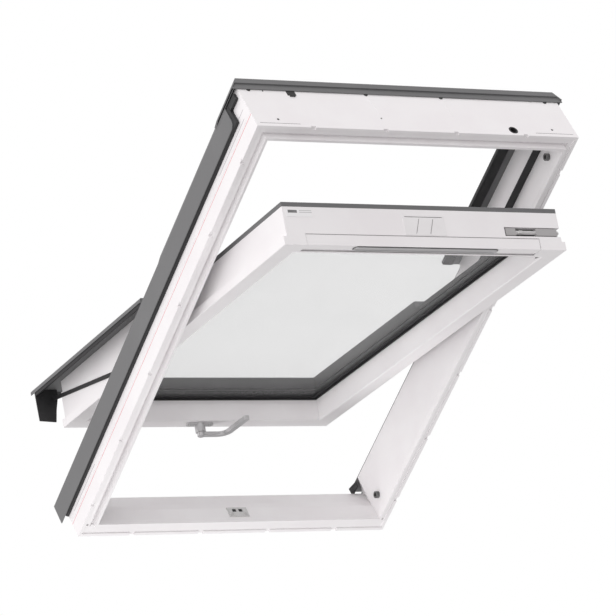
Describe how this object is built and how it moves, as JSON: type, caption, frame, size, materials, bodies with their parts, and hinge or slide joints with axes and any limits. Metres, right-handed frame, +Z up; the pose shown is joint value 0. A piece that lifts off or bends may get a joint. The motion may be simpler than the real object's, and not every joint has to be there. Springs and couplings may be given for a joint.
{
  "type": "centre-pivot roof window",
  "caption": "Centre-pivot roof window: white moulded frame and double-glazed sash standing open, grey outer covers, ventilation flap, barrel bolt and lever handle.",
  "frame": {"origin": "middle of the frame's lower edge, in the plane of the rim on its room side", "axes": "+X to the right as seen from the room, +Y out through the roof, +Z up the slope of the roof"},
  "size_m": [0.804, 0.5972, 1.208],
  "materials": {
    "white_polyurethane": "smooth satin white skin",
    "grey_cover": "satin grey lacquered sheet",
    "black_rubber": "matt black",
    "black_plastic": "matt black",
    "pale_plastic": "smooth pale grey",
    "grey_plastic": "smooth grey",
    "zinc_fitting": "zinc-plated",
    "screw_steel": "zinc-plated",
    "satin_handle": "satin anodised",
    "spacer_metal": "matt",
    "clear_glass": "clear float glass"
  },
  "bodies": {
    "frame": {"frame_head": "white_polyurethane", "frame_sill": "white_polyurethane", "frame_stile_left": "white_polyurethane", "frame_stile_right": "white_polyurethane", "hood": "grey_cover", "hood_plug_left": "black_plastic", "hood_plug_right": "black_plastic", "hood_clip": "black_plastic", "upper_cover_left": "grey_cover", "upper_cover_right": "grey_cover", "lower_cover_left": "grey_cover", "lower_cover_right": "grey_cover", "sill_cover": "grey_cover", "upper_gasket_left": "black_rubber", "upper_gasket_right": "black_rubber", "stile_seal_left": "black_rubber", "stile_seal_right": "black_rubber", "head_seal": "black_rubber", "flashing_seal_left": "black_rubber", "flashing_seal_right": "black_rubber", "corner_seals": "black_rubber", "striker_catch": "zinc_fitting", "bolt_bushes": "pale_plastic", "hinge_plate_left": "zinc_fitting", "hinge_plate_right": "zinc_fitting", "frame_screws": "screw_steel"},
    "sash": {"sash_top_rail": "white_polyurethane", "sash_bottom_rail": "white_polyurethane", "sash_stile_left": "white_polyurethane", "sash_stile_right": "white_polyurethane", "inner_pane": "clear_glass", "outer_pane": "clear_glass", "pane_spacer": "spacer_metal", "inner_gasket": "black_rubber", "outer_gasket": "black_rubber", "sash_cover_top": "grey_cover", "sash_cover_bottom": "grey_cover", "sash_cover_upper_left": "grey_cover", "sash_cover_upper_right": "grey_cover", "sash_cover_lower_left": "grey_cover", "sash_cover_lower_right": "grey_cover", "end_cap_left": "black_plastic", "end_cap_right": "black_plastic", "cover_seal_left": "black_rubber", "cover_seal_right": "black_rubber", "side_strip_left": "black_rubber", "side_strip_right": "black_rubber", "hinge_ear_left": "zinc_fitting", "hinge_ear_right": "zinc_fitting", "hinge_bush_left": "pale_plastic", "hinge_bush_right": "pale_plastic", "latch_housing": "pale_plastic", "data_plate": "zinc_fitting", "bolt_housing": "grey_plastic", "handle_base": "satin_handle", "sash_screws": "screw_steel"},
    "vent_flap": {"vent_flap": "white_polyurethane", "grip_strip": "satin_handle"},
    "barrel_bolt": {"barrel_bolt": "zinc_fitting"},
    "handle_lever": {"handle_lever": "satin_handle"}
  },
  "joints": [
    {"name": "sash_pivot", "type": "hinge", "parent": "frame", "child": "sash", "pos_m": [0, 0.13, 0.5931], "axis": [1, 0, 0], "range_deg": [-26, 137]},
    {"name": "flap_hinge", "type": "hinge", "parent": "sash", "child": "vent_flap", "pos_m": [0, -0.16526, 1.00116], "axis": [1, 0, 0], "range_deg": [0, 30]},
    {"name": "bolt_slide", "type": "slide", "parent": "sash", "child": "barrel_bolt", "axis": [1, 0, 0], "range_m": [0, 0.024]},
    {"name": "handle_turn", "type": "hinge", "parent": "sash", "child": "handle_lever", "pos_m": [-0.008, 0.26354, 0.07066], "axis": [0, -0.8988, -0.4384], "range_deg": [0, 90]}
  ]
}
